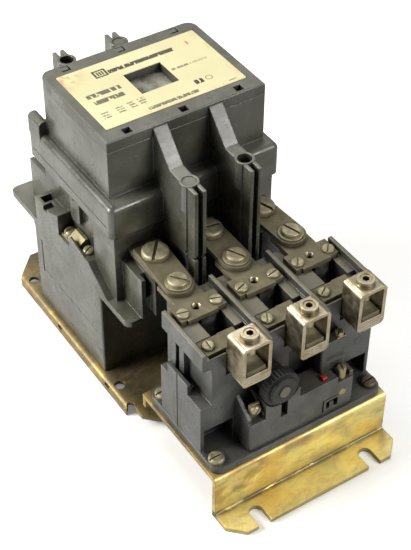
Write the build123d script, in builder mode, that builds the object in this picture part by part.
"""Magnetic motor starter: a three-pole contactor with a thermal overload relay on one steel base.

Frame: millimetres, +Z up from the mounting plane, +Y towards the line side, -Y towards the load side.
The origin is the middle of the footprint, on the mounting plane.
"""

from build123d import *
import os

os.makedirs("parts", exist_ok=True)

# ---------------------------------------------------------------- driving dimensions
# Base plate: a shallow steel pan with down-turned side flanges.
PLATE_HALF_WIDTH = 52.3
PLATE_TOP = 6.0
SHEET = 2.0
HALF_LENGTH = 111.0
MOUNT_HOLE_X = 47.3
MOUNT_HOLE_MIDDLE_Y = 44.8
MOUNT_HOLE_SPACING_Y = 93.0
MOUNT_HOLE_RADIUS = 2.75

# Overload relay bracket: a step of thicker sheet with two open slots in its foot.
BRACKET_HALF_WIDTH = 50.0
BRACKET_SHEET = 2.5
BRACKET_TOP = 27.4
BRACKET_FACE_Y = -94.5
BRACKET_REAR_Y = -30.0
SLOT_X = 32.5
SLOT_RADIUS = 3.5
SLOT_CLOSED_CENTRE_Y = -103.5

# Contactor: three poles across X, line terminals at the back and load terminals at the front.
CONTACTOR_Y = 38.7
POLE_PITCH = 30.2
LOWER_HALF_WIDTH = 49.0
LOWER_MIDDLE_Y = 44.8
LOWER_HALF_DEPTH = 34.5
LOWER_TOP = 57.0
FLANGE_TOP = 62.5
HOUSING_HALF_WIDTH = 45.0
HOUSING_HALF_DEPTH = 38.2
HOUSING_TOP = 104.0
ARC_HALF_WIDTH = 47.5
ARC_HALF_DEPTH = 40.2
ARC_SHOULDER = 122.0
COVER_HALF_WIDTH = 43.0
COVER_HALF_DEPTH = 32.2
COVER_SEAM = 148.0
COVER_TOP = 154.0
LABEL_THICKNESS = 0.25

# Barrier fins between the poles, each with a screw boss at its outer end.
FIN_X = POLE_PITCH / 2
FIN_HALF_WIDTH = 3.75
FIN_NOSE_HALF_WIDTH = 3.1
FIN_GAP_HALF = 1.3
FIN_SHOULDER_REACH = 60.0
FIN_REACH = 66.3
FIN_SEAM = 97.0
BOSS_REACH = 56.7
BOSS_RADIUS = 4.7
BOSS_TOP = 137.5

# Power terminals.
TERMINAL_TOP = 93.5
TERMINAL_THICKNESS = 3.0
TERMINAL_HALF_WIDTH = 7.0
TERMINAL_REACH = 60.0
SCREW_REACH = 50.8
STRAP_THICKNESS = 2.5
TIP_THICKNESS = 2.0
TIP_OFFSET = 18.0
CONTACT_GAP = 5.0
PULL_IN = 6.0

# Overload relay: three poles on a slightly wider pitch than the contactor.
RELAY_PITCH = 31.7
RELAY_HALF_WIDTH = 47.5
RELAY_FACE_Y = -79.5
RELAY_SIDE_REAR_Y = -45.5
RELAY_REAR_Y = -37.0
RELAY_DECK = 91.0
RELAY_WALL_TOP = 95.0
STRAP_SCREW_Y = -34.4
LUG_OFFSET_X = 4.8
LUG_FRONT_Y = -91.7
LUG_DEPTH = 13.0
LUG_HALF_WIDTH = 7.7
LUG_BOTTOM = 78.0
LUG_TOP = 101.8
LUG_WALL = 1.8

RUNNING_FIT = 0.05
WALL = 3.0
SLOT_SHARE = 0.23

POLES = (-1, 0, 1)
SIDES = (-1, 1)


# ---------------------------------------------------------------- shared shapes
def block(x_from, x_to, y_from, y_to, z_from, z_to, mode=Mode.ADD):
    """Add or cut a rectangular block given by its six limits."""
    middle = ((x_from + x_to) / 2, (y_from + y_to) / 2, (z_from + z_to) / 2)
    with Locations(middle):
        Box(x_to - x_from, y_to - y_from, z_to - z_from, mode=mode)


def round_hole(x, y, z_from, z_to, radius):
    """Cut a vertical round hole."""
    with Locations((x, y, (z_from + z_to) / 2)):
        Cylinder(radius, z_to - z_from, mode=Mode.SUBTRACT)


def slotted_screw(head_radius, head_height, shank_radius, shank_length, crown=0.55, turn=0):
    """A slotted screw, its head standing on the XY plane and its shank hanging below.

    crown is the share of the head's height that is rounded; turn is the slot's angle in degrees.
    """
    with BuildPart() as screw:
        with BuildSketch(Plane.XY):
            Circle(head_radius)
        extrude(amount=head_height)
        fillet(screw.edges().group_by(Axis.Z)[-1], head_height * crown)
        with Locations(Location((0, 0, head_height), (0, 0, turn))):
            Box(3 * head_radius, head_radius * SLOT_SHARE, head_height, mode=Mode.SUBTRACT)
        with BuildSketch(Plane.XY):
            Circle(shank_radius)
        extrude(amount=-shank_length)
    return screw.part


def coil_spring(radius, wire_radius, length, pitch):
    """A compression spring standing on the XY plane."""
    with BuildPart() as spring:
        with BuildLine(Plane.XY.offset(wire_radius)) as path:
            Helix(pitch, length - 2 * wire_radius, radius)
        with BuildSketch(Plane(origin=path.line @ 0, z_dir=path.line % 0)):
            Circle(wire_radius)
        sweep(path=path.line)
    return spring.part


# ---------------------------------------------------------------- steel base
PLATE_UNDERSIDE = PLATE_TOP - SHEET
FLANGE_FRONT_Y = -16.5
FLANGE_REAR_Y = 97.5
REAR_CORNER_X = 39.5
NECK_HALF_WIDTH = 48.5
TONGUE_HALF_WIDTH = 38.0
TONGUE_FRONT_Y = -62.0
BRACKET_FIXING_X = 24.0
BRACKET_FIXING_Y = -42.0
BASE_FIXING_X = 40.0
BASE_FIXING_SPAN_Y = 56.0

with BuildPart() as base_plate:
    # Pan section with bent side flanges, swept along Y, with bevelled rear corners.
    with BuildSketch(Plane.XZ.offset(-FLANGE_FRONT_Y)):
        with BuildLine():
            Polyline(
                (0, PLATE_UNDERSIDE),
                (PLATE_HALF_WIDTH - SHEET, PLATE_UNDERSIDE),
                (PLATE_HALF_WIDTH - SHEET, 0),
                (PLATE_HALF_WIDTH, 0),
                (PLATE_HALF_WIDTH, PLATE_TOP),
                (0, PLATE_TOP),
            )
            mirror(about=Plane.YZ)
        pan_section = make_face()
        fillet(pan_section.vertices().group_by(Axis.Y)[-1].filter_by(lambda v: abs(v.X) > 1), 2.4)
    extrude(amount=-(HALF_LENGTH - FLANGE_FRONT_Y))
    with BuildSketch():
        with BuildLine():
            Polyline(
                (REAR_CORNER_X, HALF_LENGTH),
                (PLATE_HALF_WIDTH + 1, HALF_LENGTH),
                (PLATE_HALF_WIDTH + 1, FLANGE_REAR_Y),
                (PLATE_HALF_WIDTH, FLANGE_REAR_Y),
                close=True,
            )
        make_face()
        mirror(about=Plane.YZ)
    extrude(amount=PLATE_TOP, mode=Mode.SUBTRACT)
    # Flat neck and the tongue that reaches under the relay bracket.
    with BuildSketch(Plane.XY.offset(PLATE_UNDERSIDE)):
        with BuildLine():
            Polyline(
                (0, TONGUE_FRONT_Y),
                (TONGUE_HALF_WIDTH, TONGUE_FRONT_Y),
                (TONGUE_HALF_WIDTH, -36.5),
                (NECK_HALF_WIDTH, -26.0),
                (NECK_HALF_WIDTH, FLANGE_FRONT_Y),
                (0, FLANGE_FRONT_Y),
            )
            mirror(about=Plane.YZ)
        make_face()
    extrude(amount=SHEET)
    with Locations((0, MOUNT_HOLE_MIDDLE_Y, PLATE_TOP)):
        with GridLocations(2 * MOUNT_HOLE_X, MOUNT_HOLE_SPACING_Y, 2, 2):
            Hole(MOUNT_HOLE_RADIUS)
    with Locations((0, LOWER_MIDDLE_Y, PLATE_TOP)):
        with GridLocations(2 * BASE_FIXING_X, BASE_FIXING_SPAN_Y, 2, 2):
            Hole(1.6)
    with Locations((0, BRACKET_FIXING_Y, PLATE_TOP)):
        with GridLocations(2 * BRACKET_FIXING_X, 1, 2, 1):
            Hole(1.6)
    # Bend relief holes where the side flanges end, and the lanced windows along the flanges.
    for side in SIDES:
        round_hole(side * (PLATE_HALF_WIDTH - 2.6), FLANGE_FRONT_Y, -1, PLATE_TOP + 1, 2.0)
        for window_y in (3.0, 53.0):
            block(side * 51 - 1.6, side * 51 + 1.6, window_y - 2, window_y + 2, 2.6, 4.8, Mode.SUBTRACT)
base_plate.part.label = "base_plate"
export_step(base_plate.part, "parts/base_plate.step")

# The bracket carries the relay: top shelf, front face, slotted foot and a rear leg on the base plate.
FOOT_CORNER = 7.5
LEG_HALF_WIDTH = 34.0
RELAY_EAR_X = 44.3
RELAY_EAR_Y = -86.6
RELAY_REAR_FOOT_X = 44.0
RELAY_REAR_FOOT_Y = -39.0
FOOT_SCREW_SHANK = 1.75

with BuildPart() as overload_bracket:
    with BuildSketch(Plane.YZ):
        with BuildLine():
            Polyline(
                (-HALF_LENGTH, 0),
                (BRACKET_FACE_Y + BRACKET_SHEET, 0),
                (BRACKET_FACE_Y + BRACKET_SHEET, BRACKET_TOP - BRACKET_SHEET),
                (BRACKET_REAR_Y, BRACKET_TOP - BRACKET_SHEET),
                (BRACKET_REAR_Y, BRACKET_TOP),
                (BRACKET_FACE_Y, BRACKET_TOP),
                (BRACKET_FACE_Y, BRACKET_SHEET),
                (-HALF_LENGTH, BRACKET_SHEET),
                close=True,
            )
        make_face()
    extrude(amount=BRACKET_HALF_WIDTH, both=True)
    long_edges = overload_bracket.edges().filter_by(Axis.X)
    fillet(long_edges.sort_by_distance((0, BRACKET_FACE_Y, BRACKET_TOP))[0], 3.2)
    long_edges = overload_bracket.edges().filter_by(Axis.X)
    fillet(long_edges.sort_by_distance((0, BRACKET_FACE_Y, BRACKET_SHEET))[0], 1.2)
    # Rear leg with its foot on the plate tongue.
    leg_rear = BRACKET_REAR_Y - 2.0
    block(-LEG_HALF_WIDTH, LEG_HALF_WIDTH, leg_rear - BRACKET_SHEET, leg_rear,
          PLATE_TOP, BRACKET_TOP - BRACKET_SHEET)
    block(-LEG_HALF_WIDTH, LEG_HALF_WIDTH, -50.0, leg_rear, PLATE_TOP, PLATE_TOP + BRACKET_SHEET)
    # Short lips turned down at the rear corners.
    for side in SIDES:
        block(side * 47.5 - 2.5, side * 47.5 + 2.5, BRACKET_REAR_Y - BRACKET_SHEET, BRACKET_REAR_Y,
              BRACKET_TOP - 8, BRACKET_TOP - BRACKET_SHEET)
    # Open mounting slots and bevelled foot corners.
    for side in SIDES:
        round_hole(side * SLOT_X, SLOT_CLOSED_CENTRE_Y, -1, BRACKET_SHEET + 1, SLOT_RADIUS)
        block(side * SLOT_X - SLOT_RADIUS, side * SLOT_X + SLOT_RADIUS, -HALF_LENGTH - 1,
              SLOT_CLOSED_CENTRE_Y, -1, BRACKET_SHEET + 1, Mode.SUBTRACT)
    foot_corners = overload_bracket.edges().filter_by(Axis.Z).group_by(Axis.Y)[0]
    chamfer(foot_corners.sort_by(Axis.X)[0], FOOT_CORNER)
    foot_corners = overload_bracket.edges().filter_by(Axis.Z).group_by(Axis.Y)[0]
    chamfer(foot_corners.sort_by(Axis.X)[-1], FOOT_CORNER)
    for side in SIDES:
        round_hole(side * RELAY_EAR_X, RELAY_EAR_Y, BRACKET_TOP - 4, BRACKET_TOP + 1, FOOT_SCREW_SHANK)
        round_hole(side * RELAY_REAR_FOOT_X, RELAY_REAR_FOOT_Y, BRACKET_TOP - 4, BRACKET_TOP + 1,
                   FOOT_SCREW_SHANK)
        round_hole(side * BRACKET_FIXING_X, BRACKET_FIXING_Y, PLATE_TOP - 1, PLATE_TOP + 4, 1.6)
overload_bracket.part.label = "overload_bracket"
export_step(overload_bracket.part, "parts/overload_bracket.step")

SMALL_SHANK = 1.55
with BuildPart() as bracket_screws:
    bracket_screw = slotted_screw(3.4, 2.2, SMALL_SHANK, BRACKET_SHEET + SHEET)
    with Locations((0, BRACKET_FIXING_Y, PLATE_TOP + BRACKET_SHEET)):
        with GridLocations(2 * BRACKET_FIXING_X, 1, 2, 1):
            add(bracket_screw)
bracket_screws.part.label = "bracket_screws"
export_step(bracket_screws.part, "parts/bracket_screws.step")

# ---------------------------------------------------------------- contactor: lower base
LOWER_FLOOR = PLATE_TOP + WALL
lower_front = LOWER_MIDDLE_Y - LOWER_HALF_DEPTH
lower_rear = LOWER_MIDDLE_Y + LOWER_HALF_DEPTH

with BuildPart() as contactor_base:
    block(-LOWER_HALF_WIDTH, LOWER_HALF_WIDTH, lower_front, lower_rear, PLATE_TOP, LOWER_TOP)
    fillet(contactor_base.edges().filter_by(Axis.Z), 1.0)
    block(-LOWER_HALF_WIDTH + WALL, LOWER_HALF_WIDTH - WALL, lower_front + WALL, lower_rear - WALL,
          LOWER_FLOOR, LOWER_TOP + 1, Mode.SUBTRACT)
    with Locations((0, LOWER_MIDDLE_Y, LOWER_FLOOR)):
        with GridLocations(2 * BASE_FIXING_X, BASE_FIXING_SPAN_Y, 2, 2):
            Hole(1.6)
    # Moulded panel lines and the narrow latch slits on both side faces.
    for side in SIDES:
        face_x = side * LOWER_HALF_WIDTH
        block(face_x - 0.4, face_x + 0.4, lower_front + 6, lower_rear - 8, 30.6, 31.1, Mode.SUBTRACT)
        block(face_x - 1.2, face_x + 1.2, lower_rear - 7.6, lower_rear - 6.6, 29, 51, Mode.SUBTRACT)
contactor_base.part.label = "contactor_base"
export_step(contactor_base.part, "parts/contactor_base.step")

with BuildPart() as base_screws:
    base_screw = slotted_screw(3.4, 2.2, SMALL_SHANK, WALL + SHEET)
    with Locations((0, LOWER_MIDDLE_Y, LOWER_FLOOR)):
        with GridLocations(2 * BASE_FIXING_X, BASE_FIXING_SPAN_Y, 2, 2):
            add(base_screw)
base_screws.part.label = "base_screws"
export_step(base_screws.part, "parts/base_screws.step")

# ---------------------------------------------------------------- magnet and coil
CORE_HALF_WIDTH = 30.0
CORE_HALF_DEPTH = 12.0
CORE_YOKE = 9.0
CORE_TOP = 33.0
CENTRE_LEG_HALF = 7.0
OUTER_LEG_INNER = 23.0
ARMATURE_TOP = 63.0
ARMATURE_FOOT = CORE_TOP + PULL_IN
SHADING_DEPTH = 3.0
AIR_GAP = 0.1


def e_legs(z_from, z_to, centre_from, centre_to):
    """The three legs of a laminated E, the centre one with its own length."""
    y_from = CONTACTOR_Y - CORE_HALF_DEPTH
    y_to = CONTACTOR_Y + CORE_HALF_DEPTH
    block(-CENTRE_LEG_HALF, CENTRE_LEG_HALF, y_from, y_to, centre_from, centre_to)
    block(-CORE_HALF_WIDTH, -OUTER_LEG_INNER, y_from, y_to, z_from, z_to)
    block(OUTER_LEG_INNER, CORE_HALF_WIDTH, y_from, y_to, z_from, z_to)


yoke_front = CONTACTOR_Y - CORE_HALF_DEPTH
yoke_rear = CONTACTOR_Y + CORE_HALF_DEPTH
with BuildPart() as magnet_core:
    block(-CORE_HALF_WIDTH, CORE_HALF_WIDTH, yoke_front, yoke_rear, LOWER_FLOOR, LOWER_FLOOR + CORE_YOKE)
    e_legs(LOWER_FLOOR, CORE_TOP, LOWER_FLOOR, CORE_TOP)
    # Grooves in the outer pole faces for the shading rings.
    for side in SIDES:
        for groove_x in (24.0, 28.0):
            block(side * groove_x - 0.75, side * groove_x + 0.75, yoke_front, yoke_rear,
                  CORE_TOP - SHADING_DEPTH, CORE_TOP, Mode.SUBTRACT)
magnet_core.part.label = "magnet_core"
export_step(magnet_core.part, "parts/magnet_core.step")

with BuildPart() as shading_rings:
    for side in SIDES:
        for bar_x in (24.0, 28.0):
            block(side * bar_x - 0.75, side * bar_x + 0.75, yoke_front - 1.5, yoke_rear + 1.5,
                  CORE_TOP - SHADING_DEPTH, CORE_TOP - 0.5)
        for end_from in (yoke_front - 1.5, yoke_rear):
            block(side * 26 - 2.75, side * 26 + 2.75, end_from, end_from + 1.5,
                  CORE_TOP - SHADING_DEPTH, CORE_TOP - 0.5)
shading_rings.part.label = "shading_rings"
export_step(shading_rings.part, "parts/shading_rings.step")

BOBBIN_BOTTOM = LOWER_FLOOR + CORE_YOKE
BOBBIN_TOP = 46.0
BOBBIN_WALL = 1.4
with BuildPart() as coil_bobbin:
    tube_half_x = CENTRE_LEG_HALF + 0.6 + BOBBIN_WALL
    tube_half_y = CORE_HALF_DEPTH + 0.6 + BOBBIN_WALL
    block(-tube_half_x, tube_half_x, CONTACTOR_Y - tube_half_y, CONTACTOR_Y + tube_half_y,
          BOBBIN_BOTTOM, BOBBIN_TOP)
    for flange_bottom in (BOBBIN_BOTTOM, BOBBIN_TOP - 1.5):
        block(-22.5, 22.5, CONTACTOR_Y - 23, CONTACTOR_Y + 23, flange_bottom, flange_bottom + 1.5)
    block(-CENTRE_LEG_HALF - 0.6, CENTRE_LEG_HALF + 0.6, yoke_front - 0.6, yoke_rear + 0.6,
          BOBBIN_BOTTOM - 1, BOBBIN_TOP + 1, Mode.SUBTRACT)
coil_bobbin.part.label = "coil_bobbin"
export_step(coil_bobbin.part, "parts/coil_bobbin.step")

with BuildPart() as coil_winding:
    with BuildSketch(Plane.XY.offset(BOBBIN_BOTTOM + 1.5)):
        with Locations((0, CONTACTOR_Y)):
            RectangleRounded(43, 44, 5)
            Rectangle(2 * tube_half_x, 2 * tube_half_y, mode=Mode.SUBTRACT)
    extrude(amount=BOBBIN_TOP - BOBBIN_BOTTOM - 3)
coil_winding.part.label = "coil_winding"
export_step(coil_winding.part, "parts/coil_winding.step")

PIN_HEIGHT = 58.5
PIN_RADIUS = 2.0
with BuildPart() as armature:
    block(-CORE_HALF_WIDTH, CORE_HALF_WIDTH, yoke_front, yoke_rear, ARMATURE_TOP - CORE_YOKE, ARMATURE_TOP)
    e_legs(ARMATURE_FOOT, ARMATURE_TOP, ARMATURE_FOOT + AIR_GAP, ARMATURE_TOP)
    with Locations(Location((0, CONTACTOR_Y, PIN_HEIGHT), (90, 0, 0))):
        Cylinder(PIN_RADIUS + RUNNING_FIT, 3 * CORE_HALF_DEPTH, mode=Mode.SUBTRACT)
armature.part.label = "armature"
export_step(armature.part, "parts/armature.step")

YOKE_CHEEK = 3.0
with BuildPart() as armature_pin:
    with Locations(Location((0, CONTACTOR_Y, PIN_HEIGHT), (90, 0, 0))):
        Cylinder(PIN_RADIUS, 2 * (CORE_HALF_DEPTH + YOKE_CHEEK))
armature_pin.part.label = "armature_pin"
export_step(armature_pin.part, "parts/armature_pin.step")

# ---------------------------------------------------------------- moving contact carrier
DECK_TOP = 70.0
CARRIER_HALF_WIDTH = 37.5
CARRIER_HALF_DEPTH = 9.0
CARRIER_BOTTOM = 86.0
CARRIER_TOP = 121.0
BAR_THICKNESS = 3.0
BAR_BOTTOM = TERMINAL_TOP + 2 * TIP_THICKNESS + CONTACT_GAP
WINDOW_TOP = 117.5
BRIDGE_HALF_LENGTH = 22.5
INDICATOR_TOP = COVER_SEAM - 0.5
INDICATOR_X = 1.0
INDICATOR_Y = CONTACTOR_Y + 1.0

with BuildPart() as contact_carrier:
    block(-CARRIER_HALF_WIDTH, CARRIER_HALF_WIDTH, CONTACTOR_Y - CARRIER_HALF_DEPTH,
          CONTACTOR_Y + CARRIER_HALF_DEPTH, CARRIER_BOTTOM, CARRIER_TOP)
    fillet(contact_carrier.edges().filter_by(Axis.Z), 1.0)
    for pole in POLES:
        x = pole * POLE_PITCH
        block(x - 5.2, x + 5.2, CONTACTOR_Y - 12, CONTACTOR_Y + 12, BAR_BOTTOM, WINDOW_TOP, Mode.SUBTRACT)
    # Post down to the armature yoke and post up to the indicator.
    block(-7, 7, CONTACTOR_Y - 8, CONTACTOR_Y + 8, ARMATURE_TOP, CARRIER_BOTTOM)
    block(-7, 7, yoke_front - YOKE_CHEEK, yoke_rear + YOKE_CHEEK, ARMATURE_TOP, ARMATURE_TOP + 3)
    for cheek_from in (yoke_front - YOKE_CHEEK, yoke_rear + RUNNING_FIT):
        block(-7, 7, cheek_from, cheek_from + YOKE_CHEEK - RUNNING_FIT, 53.5, ARMATURE_TOP)
    with Locations(Location((0, CONTACTOR_Y, PIN_HEIGHT), (90, 0, 0))):
        Cylinder(PIN_RADIUS, 4 * CORE_HALF_DEPTH, mode=Mode.SUBTRACT)
    block(-4, 4, CONTACTOR_Y - 4, CONTACTOR_Y + 4, CARRIER_TOP, INDICATOR_TOP - 5)
contact_carrier.part.label = "contact_carrier"
export_step(contact_carrier.part, "parts/contact_carrier.step")

with BuildPart() as position_indicator:
    block(INDICATOR_X - 6, INDICATOR_X + 6, INDICATOR_Y - 4.5, INDICATOR_Y + 4.5, INDICATOR_TOP - 5,
          INDICATOR_TOP)
    fillet(position_indicator.edges().group_by(Axis.Z)[-1], 0.6)
position_indicator.part.label = "position_indicator"
export_step(position_indicator.part, "parts/position_indicator.step")


def contact_bridge(x, name):
    """One moving contact bar with its two silver tips and the spring that presses it down."""
    with BuildPart() as bar:
        with BuildSketch(Plane.XY.offset(BAR_BOTTOM)):
            with Locations((x, CONTACTOR_Y)):
                RectangleRounded(10, 2 * BRIDGE_HALF_LENGTH, 2)
        extrude(amount=BAR_THICKNESS)
    bar.part.label = "contact_bridge_" + name
    export_step(bar.part, "parts/contact_bridge_" + name + ".step")

    with BuildPart() as tips:
        for end in SIDES:
            tip_y = CONTACTOR_Y + end * TIP_OFFSET
            block(x - 4, x + 4, tip_y - 4, tip_y + 4, BAR_BOTTOM - TIP_THICKNESS, BAR_BOTTOM)
    tips.part.label = "bridge_tips_" + name
    export_step(tips.part, "parts/bridge_tips_" + name + ".step")

    with BuildPart() as pressure_spring:
        with Locations((x, CONTACTOR_Y, BAR_BOTTOM + BAR_THICKNESS)):
            add(coil_spring(3.6, 0.5, WINDOW_TOP - BAR_BOTTOM - BAR_THICKNESS, 2.75))
    pressure_spring.part.label = "contact_spring_" + name
    export_step(pressure_spring.part, "parts/contact_spring_" + name + ".step")


contact_bridge(-POLE_PITCH, "left")
contact_bridge(0, "middle")
contact_bridge(POLE_PITCH, "right")

with BuildPart() as return_springs:
    return_spring = coil_spring(3.4, 0.6, CARRIER_BOTTOM - DECK_TOP, 3.7)
    for side in SIDES:
        with Locations((side * FIN_X, CONTACTOR_Y, DECK_TOP)):
            add(return_spring)
return_springs.part.label = "return_springs"
export_step(return_springs.part, "parts/return_springs.step")

# ---------------------------------------------------------------- contactor: middle housing
DECK_THICKNESS = 3.0
BARRIER_HALF = 1.0
CHAMBER_HALF_WIDTH = 38.5
CHAMBER_HALF_DEPTH = 34.7
CARRIER_SLOT_HALF = 10.5
ARMATURE_ROOM_X = 42.0
INNER_REACH = 12.0
TONGUE_INNER_X = 33.5
TONGUE_LENGTH = 26.2
TONGUE_THICKNESS = 3.2
TONGUE_CORNER = 3.6
LEDGE_INNER_X = 41.0
LEDGE_RECESS_FLOOR = 70.0
COIL_TERMINAL_X = -44.2
COIL_TERMINAL_REAR_Y = 47.2
COIL_TERMINAL_FRONT_Y = 28.2
COIL_FRONT_SEAT = 72.4
LEDGE_FRONT_Y = 3.0
LEDGE_RAMP_TOP = 74.6
LEDGE_RAMP_Y = 21.0
LEDGE_DIP_Y = 39.5
LEDGE_STEP_Y = 51.0
LEDGE_STEP_TOP = 82.2
LEDGE_REAR_TOP = 78.2
LEDGE_REAR_Y = 75.5
CLAMP_FRONT_Y = 33.8
CLAMP_REAR_Y = 43.6
CLAMP_TOP = 76.6
SIDE_TAB_FRONT_Y = 37.6
SIDE_TAB_REAR_Y = 46.8
SIDE_TAB_RELIEF = 2.4
SIDE_TAB_HOLE_Z = 96.5
SIDE_PEAK_Y = 39.0
SIDE_PEAK_TOP = 77.5
PLATFORM_HALF_WIDTH = 6.0
SIDE_BOX_INNER_X = 35.0
SIDE_BOX_OUTER_X = 41.0
SIDE_BOX_NOTCH_X = 38.7
SIDE_BOX_REACH = 55.5
SIDE_BOX_TOP = 87.0
FIN_ROOT_Z = 66.0
SCREW_SEAT_Z = 128.0
COVER_SCREW_RADIUS = 1.4
COVER_SCREW_FOOT = 80.0
housing_front = CONTACTOR_Y - HOUSING_HALF_DEPTH
housing_rear = CONTACTOR_Y + HOUSING_HALF_DEPTH


def reach_block(x_from, x_to, reach_from, reach_to, z_from, z_to, end, mode=Mode.ADD):
    """A block placed by its reach from the contactor's centre plane, towards one end of Y."""
    limits = sorted((CONTACTOR_Y + end * reach_from, CONTACTOR_Y + end * reach_to))
    block(x_from, x_to, limits[0], limits[1], z_from, z_to, mode)


with BuildPart() as contactor_housing:
    # Flange on the lower base, with a flat tongue at each corner.
    block(-LOWER_HALF_WIDTH, LOWER_HALF_WIDTH, lower_front, lower_rear, LOWER_TOP, FLANGE_TOP)
    for side in SIDES:
        tongue_x = side * (LOWER_HALF_WIDTH + TONGUE_INNER_X) / 2
        with BuildSketch(Plane.XY.offset(FLANGE_TOP)):
            with Locations((tongue_x, LOWER_MIDDLE_Y)):
                RectangleRounded(LOWER_HALF_WIDTH - TONGUE_INNER_X,
                                 2 * (LOWER_HALF_DEPTH + TONGUE_LENGTH), TONGUE_CORNER)
        extrude(amount=-TONGUE_THICKNESS)
    # Upper box that holds the fixed contacts.
    block(-HOUSING_HALF_WIDTH, HOUSING_HALF_WIDTH, housing_front, housing_rear, FLANGE_TOP, HOUSING_TOP)
    fillet(contactor_housing.edges().filter_by(Axis.Z).group_by(Axis.Y)[3], 1.2)
    # Side ledges: a ramp at the front, a recess for the coil terminals and a raised block behind.
    for side in SIDES:
        ledge_plane = Plane.YZ.offset(side * (LOWER_HALF_WIDTH + LEDGE_INNER_X) / 2)
        block(side * 43 - 2, side * 43 + 2, LEDGE_RAMP_Y, housing_rear + 1, LEDGE_RECESS_FLOOR, HOUSING_TOP,
              Mode.SUBTRACT)
        with BuildSketch(ledge_plane):
            with BuildLine():
                Polyline(
                    (LEDGE_FRONT_Y, FLANGE_TOP),
                    (LEDGE_RAMP_Y, LEDGE_RAMP_TOP),
                    (LEDGE_RAMP_Y + 9, LEDGE_RAMP_TOP - 0.8),
                    (LEDGE_DIP_Y, LEDGE_RECESS_FLOOR),
                    (LEDGE_STEP_Y, LEDGE_RECESS_FLOOR),
                    (LEDGE_STEP_Y, LEDGE_STEP_TOP),
                    (LEDGE_STEP_Y + 9, LEDGE_REAR_TOP),
                    (LEDGE_REAR_Y, LEDGE_REAR_TOP),
                    (LEDGE_REAR_Y, FLANGE_TOP),
                    close=True,
                )
            make_face()
        extrude(amount=(LOWER_HALF_WIDTH - LEDGE_INNER_X) / 2, both=True)
        # Pockets for the two coil terminals, then two moulded recesses behind the step.
        block(side * 44.3 - 3.5, side * 44.3 + 3.5, COIL_TERMINAL_FRONT_Y - 3.6, CLAMP_FRONT_Y - 1.4,
              COIL_FRONT_SEAT, LEDGE_STEP_TOP, Mode.SUBTRACT)
        block(side * 44.3 - 3.5, side * 44.3 + 3.5, CLAMP_FRONT_Y - 0.3, LEDGE_STEP_Y,
              LEDGE_RECESS_FLOOR, LEDGE_STEP_TOP, Mode.SUBTRACT)
        block(side * 47 - 3, side * 47 + 3, 62.5, 66.5, LEDGE_REAR_TOP - 2.6, LEDGE_REAR_TOP + 2,
              Mode.SUBTRACT)
        block(side * 44 - 3, side * 44 + 3, 68.0, 73.0, LEDGE_REAR_TOP - 4.2, LEDGE_REAR_TOP + 2,
              Mode.SUBTRACT)
        # Upright tab with a rounded head and a small square eye.
        tab_middle_y = (SIDE_TAB_FRONT_Y + SIDE_TAB_REAR_Y) / 2
        tab_plane = Plane.YZ.offset(side * (LEDGE_INNER_X + SIDE_TAB_RELIEF / 2))
        with BuildSketch(tab_plane):
            with Locations((tab_middle_y, (LEDGE_STEP_TOP + HOUSING_TOP) / 2)):
                RectangleRounded(SIDE_TAB_REAR_Y - SIDE_TAB_FRONT_Y, HOUSING_TOP - LEDGE_STEP_TOP, 3.0)
            with Locations((tab_middle_y + 0.7, SIDE_TAB_HOLE_Z)):
                Rectangle(1.8, 2.6, mode=Mode.SUBTRACT)
        extrude(amount=SIDE_TAB_RELIEF / 2, both=True)
        # Pointed guard wall outside the rear coil terminal.
        with BuildSketch(Plane.YZ.offset(side * (LOWER_HALF_WIDTH - 0.6))):
            with BuildLine():
                Polyline(
                    (LEDGE_RAMP_Y + 3, LEDGE_RAMP_TOP - 1),
                    (SIDE_PEAK_Y, SIDE_PEAK_TOP),
                    (SIDE_PEAK_Y + 1.5, LEDGE_RECESS_FLOOR),
                    (LEDGE_RAMP_Y + 3, LEDGE_RECESS_FLOOR),
                    close=True,
                )
            make_face()
        extrude(amount=0.6, both=True)
    # Terminal platforms and the lower half of every barrier fin, at both ends.
    for end in SIDES:
        for pole in POLES:
            x = pole * POLE_PITCH
            reach_block(x - PLATFORM_HALF_WIDTH, x + PLATFORM_HALF_WIDTH, HOUSING_HALF_DEPTH - 1,
                        TERMINAL_REACH, LOWER_TOP + 9,
                        TERMINAL_TOP - TERMINAL_THICKNESS, end)
        for side in SIDES:
            # Open box beside the outer terminals, with a notch in its inner front corner.
            box_limits = sorted((side * SIDE_BOX_INNER_X, side * SIDE_BOX_OUTER_X))
            reach_block(box_limits[0], box_limits[1], HOUSING_HALF_DEPTH - 1, SIDE_BOX_REACH, FLANGE_TOP,
                        SIDE_BOX_TOP, end)
            notch_limits = sorted((side * (POLE_PITCH + PLATFORM_HALF_WIDTH), side * SIDE_BOX_NOTCH_X))
            reach_block(notch_limits[0], notch_limits[1], SIDE_BOX_REACH - 5, SIDE_BOX_REACH, SIDE_BOX_TOP - 11,
                        SIDE_BOX_TOP, end, Mode.SUBTRACT)
            x = side * FIN_X
            reach_block(x - FIN_HALF_WIDTH, x + FIN_HALF_WIDTH, HOUSING_HALF_DEPTH - 1, FIN_SHOULDER_REACH,
                        FIN_ROOT_Z, FIN_SEAM, end)
            reach_block(x - FIN_NOSE_HALF_WIDTH, x + FIN_NOSE_HALF_WIDTH, HOUSING_HALF_DEPTH, FIN_REACH,
                        FIN_ROOT_Z, FIN_SEAM, end)
            reach_block(x - FIN_GAP_HALF, x + FIN_GAP_HALF, FIN_SHOULDER_REACH, FIN_REACH + 1,
                        FIN_ROOT_Z - 1, FIN_SEAM, end, Mode.SUBTRACT)
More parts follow.
